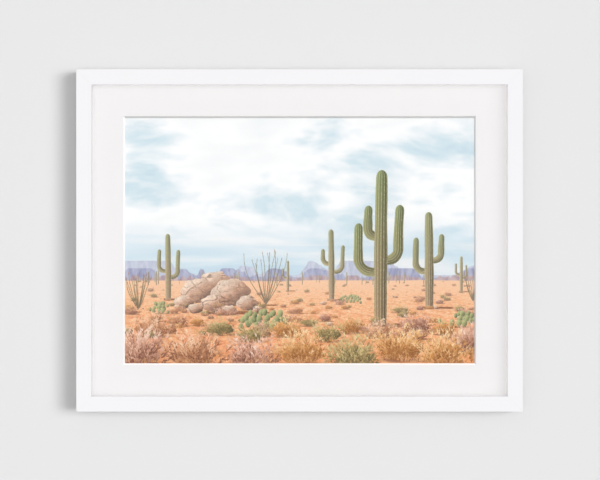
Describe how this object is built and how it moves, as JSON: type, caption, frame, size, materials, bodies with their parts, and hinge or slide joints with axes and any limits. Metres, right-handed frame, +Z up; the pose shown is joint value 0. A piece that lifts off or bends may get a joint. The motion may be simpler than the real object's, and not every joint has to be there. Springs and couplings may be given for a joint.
{
  "type": "framed print",
  "caption": "Landscape framed print for a wall: square white wooden frame, clear glazing, white bevelled window mat, print sheet, back board held by turn buttons, sawtooth hanger and bumpers.",
  "frame": {"origin": "on the wall's face, at the sawtooth hanger's middle notch, where the wall's nail carries the frame", "axes": "+X to the picture's right seen from the front, +Z up, +Y into the wall; the picture faces -Y"},
  "size_m": [0.527, 0.026, 0.404],
  "materials": {
    "frame_wood": "sprayed white satin lacquer, bare wood on the back",
    "clear_glass": "clear float glass, polished",
    "mat_board": "matt white board, bevel-cut window",
    "print_paper": "matt printed sheet, desert landscape",
    "foam_board": "paper-faced foam board",
    "fibreboard": "plain fibreboard",
    "zinc_steel": "bright zinc plating",
    "bumper_rubber": "matt moulded rubber"
  },
  "bodies": {
    "frame": {"rail_left": "frame_wood", "rail_top": "frame_wood", "rail_right": "frame_wood", "rail_bottom": "frame_wood", "glazing": "clear_glass", "window_mat": "mat_board", "print_sheet": "print_paper", "foam_filler": "foam_board", "back_board": "fibreboard", "button_screw_left_lower": "zinc_steel", "button_screw_left_upper": "zinc_steel", "button_screw_top_left": "zinc_steel", "button_screw_top_right": "zinc_steel", "button_screw_right_upper": "zinc_steel", "button_screw_right_lower": "zinc_steel", "button_screw_bottom_right": "zinc_steel", "button_screw_bottom_left": "zinc_steel", "sawtooth_hanger": "zinc_steel", "hanger_nail_left": "zinc_steel", "hanger_nail_right": "zinc_steel", "bumper_top_left": "bumper_rubber", "bumper_top_right": "bumper_rubber", "bumper_bottom_right": "bumper_rubber", "bumper_bottom_left": "bumper_rubber"},
    "button_left_lower": {"turn_button_left_lower": "zinc_steel"},
    "button_left_upper": {"turn_button_left_upper": "zinc_steel"},
    "button_top_left": {"turn_button_top_left": "zinc_steel"},
    "button_top_right": {"turn_button_top_right": "zinc_steel"},
    "button_right_upper": {"turn_button_right_upper": "zinc_steel"},
    "button_right_lower": {"turn_button_right_lower": "zinc_steel"},
    "button_bottom_right": {"turn_button_bottom_right": "zinc_steel"},
    "button_bottom_left": {"turn_button_bottom_left": "zinc_steel"}
  },
  "joints": [
    {"name": "turn_left_lower", "type": "hinge", "parent": "frame", "child": "button_left_lower", "pos_m": [-0.2575, -0.0031, -0.288], "axis": [0, 1, 0], "range_deg": [-90, 90]},
    {"name": "turn_left_upper", "type": "hinge", "parent": "frame", "child": "button_left_upper", "pos_m": [-0.2575, -0.0031, -0.098], "axis": [0, 1, 0], "range_deg": [-90, 90]},
    {"name": "turn_top_left", "type": "hinge", "parent": "frame", "child": "button_top_left", "pos_m": [-0.13, -0.0031, 0.003], "axis": [0, 1, 0], "range_deg": [-90, 90]},
    {"name": "turn_top_right", "type": "hinge", "parent": "frame", "child": "button_top_right", "pos_m": [0.13, -0.0031, 0.003], "axis": [0, 1, 0], "range_deg": [-90, 90]},
    {"name": "turn_right_upper", "type": "hinge", "parent": "frame", "child": "button_right_upper", "pos_m": [0.2575, -0.0031, -0.098], "axis": [0, 1, 0], "range_deg": [-90, 90]},
    {"name": "turn_right_lower", "type": "hinge", "parent": "frame", "child": "button_right_lower", "pos_m": [0.2575, -0.0031, -0.288], "axis": [0, 1, 0], "range_deg": [-90, 90]},
    {"name": "turn_bottom_right", "type": "hinge", "parent": "frame", "child": "button_bottom_right", "pos_m": [0.13, -0.0031, -0.389], "axis": [0, 1, 0], "range_deg": [-90, 90]},
    {"name": "turn_bottom_left", "type": "hinge", "parent": "frame", "child": "button_bottom_left", "pos_m": [-0.13, -0.0031, -0.389], "axis": [0, 1, 0], "range_deg": [-90, 90]}
  ]
}
